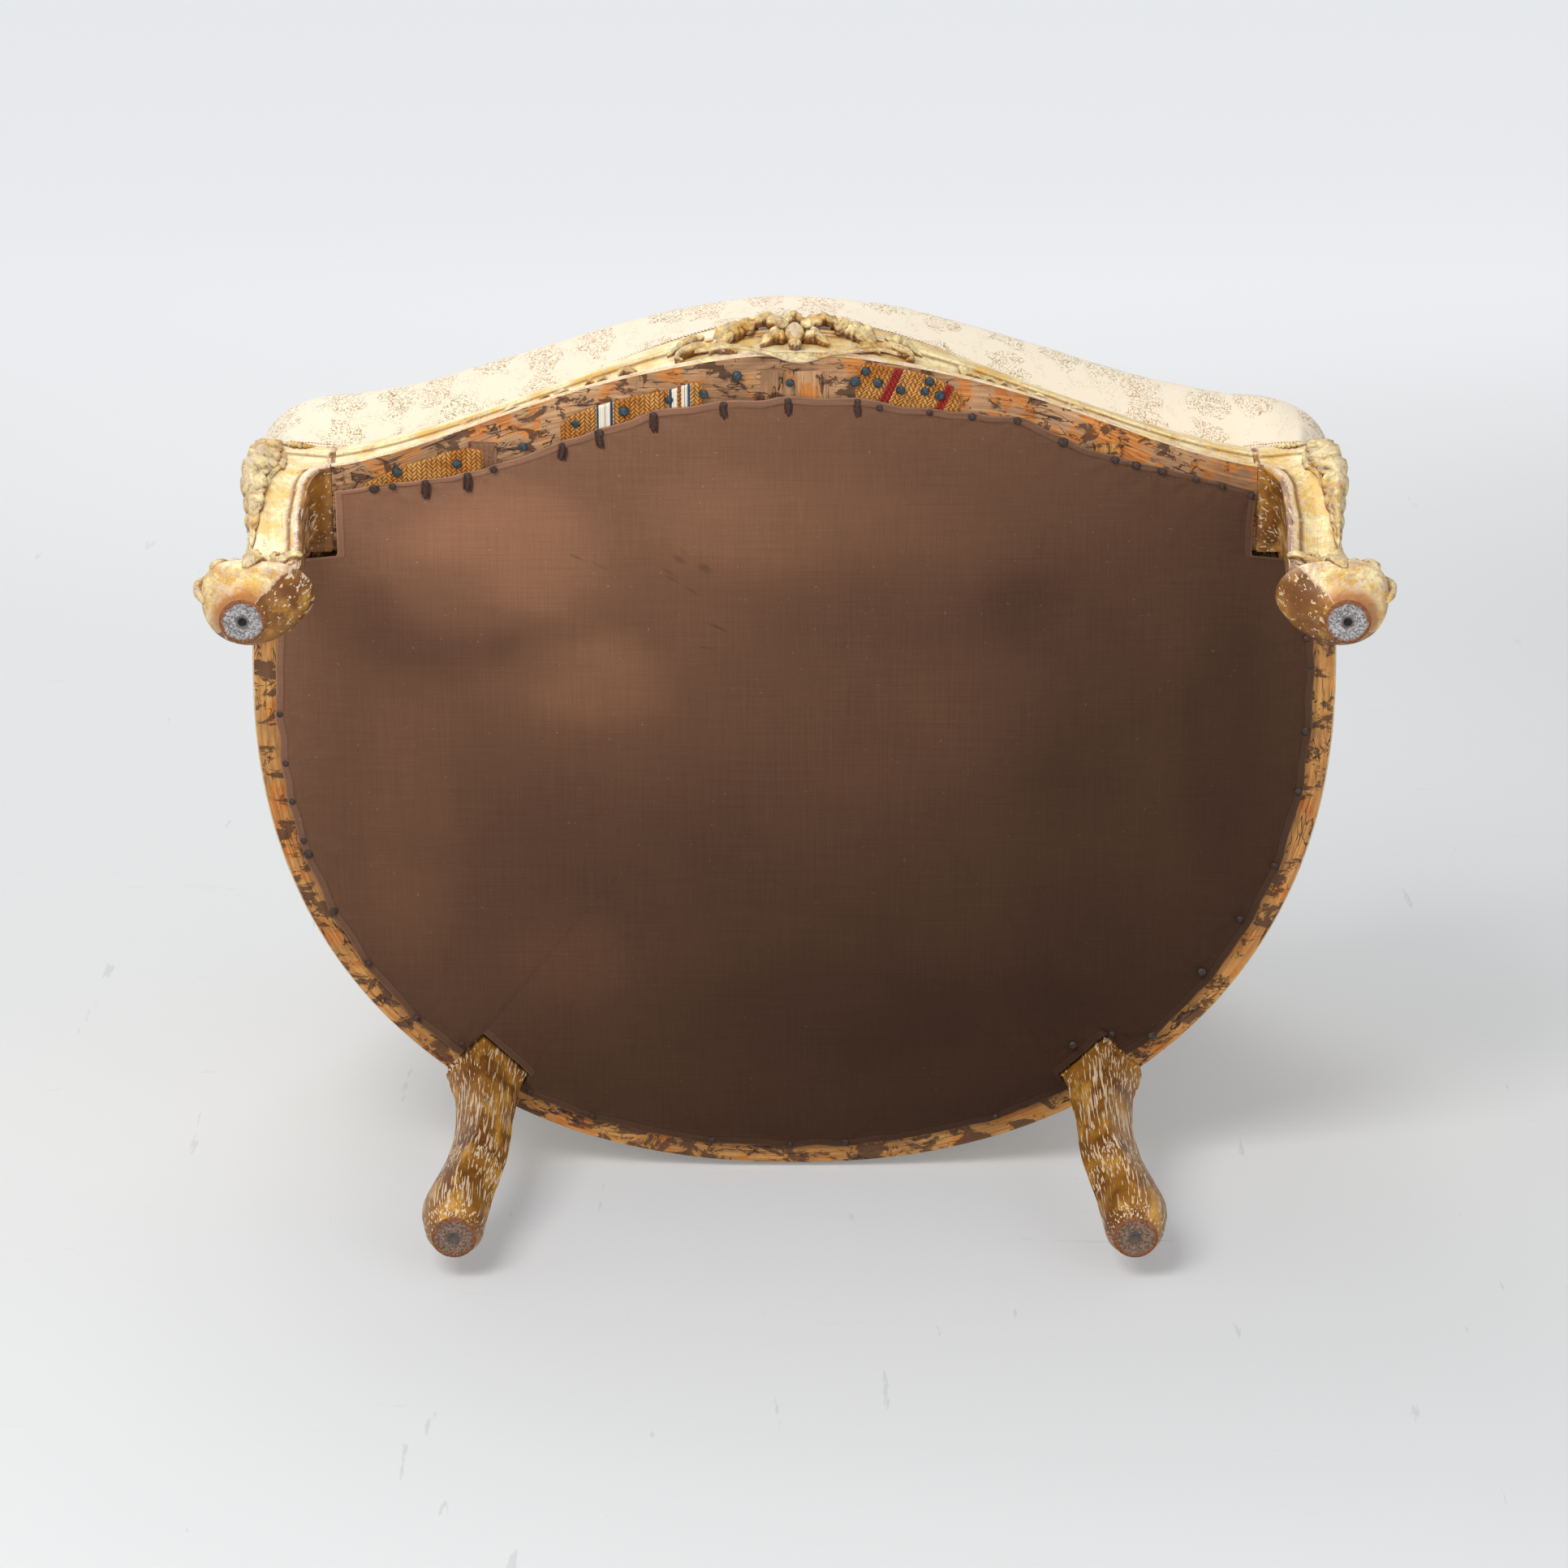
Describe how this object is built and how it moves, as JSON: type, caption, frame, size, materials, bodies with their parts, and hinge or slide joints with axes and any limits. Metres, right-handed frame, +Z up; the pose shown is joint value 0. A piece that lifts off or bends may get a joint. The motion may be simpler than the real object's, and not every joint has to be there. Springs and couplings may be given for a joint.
{
  "type": "bergere armchair",
  "caption": "Low, deep armchair with closed upholstered arms, a loose seat cushion over a sprung platform, and a moulded, carved frame on cabriole legs.",
  "frame": {"origin": "on the floor, under the middle of the whole chair", "axes": "+Z up, -Y towards the front of the seat, +X to the right of someone who faces the front"},
  "size_m": [0.7516, 0.6989, 0.937],
  "materials": {
    "gilt_wood": "worn gilt over gesso",
    "aged_wood": "aged brown-gold varnish",
    "bare_wood": "unfinished",
    "jute_webbing": "woven, striped edges",
    "spring_steel": "dull wire",
    "canvas": "coarse weave",
    "brown_cambric": "thin matt weave",
    "floral_fabric": "printed cream cotton"
  },
  "bodies": {
    "frame": {"crest_rail": "gilt_wood", "cross_strap_1": "jute_webbing", "cross_strap_2": "jute_webbing", "cross_strap_3": "jute_webbing", "dust_cover": "brown_cambric", "front_edge_roll": "floral_fabric", "front_rail": "gilt_wood", "front_rail_centre_block": "bare_wood", "front_rail_left_block": "bare_wood", "front_rail_right_block": "bare_wood", "inside_back": "floral_fabric", "left_arm_pad": "floral_fabric", "left_arm_rail": "gilt_wood", "left_arm_support": "gilt_wood", "left_front_corner_block": "bare_wood", "left_front_leg": "gilt_wood", "left_inside_arm": "floral_fabric", "left_outside_arm": "floral_fabric", "left_rear_corner_block": "bare_wood", "left_rear_leg": "aged_wood", "left_side_rail": "gilt_wood", "long_strap_1": "jute_webbing", "long_strap_2": "jute_webbing", "long_strap_3": "jute_webbing", "long_strap_4": "jute_webbing", "lower_back_rail": "bare_wood", "outside_back": "floral_fabric", "rear_rail": "aged_wood", "right_arm_pad": "floral_fabric", "right_arm_rail": "gilt_wood", "right_arm_support": "gilt_wood", "right_front_corner_block": "bare_wood", "right_front_leg": "gilt_wood", "right_inside_arm": "floral_fabric", "right_outside_arm": "floral_fabric", "right_rear_corner_block": "bare_wood", "right_rear_leg": "aged_wood", "right_side_rail": "gilt_wood", "seat_deck": "floral_fabric", "spring_1": "spring_steel", "spring_10": "spring_steel", "spring_2": "spring_steel", "spring_3": "spring_steel", "spring_4": "spring_steel", "spring_5": "spring_steel", "spring_6": "spring_steel", "spring_7": "spring_steel", "spring_8": "spring_steel", "spring_9": "spring_steel", "spring_canvas": "canvas"},
    "cushion": {"seat_cushion": "floral_fabric"}
  },
  "joints": [
    {"name": "cushion_lift", "type": "slide", "parent": "frame", "child": "cushion", "axis": [0, 0, 1], "range_m": [0, 0.3]}
  ]
}
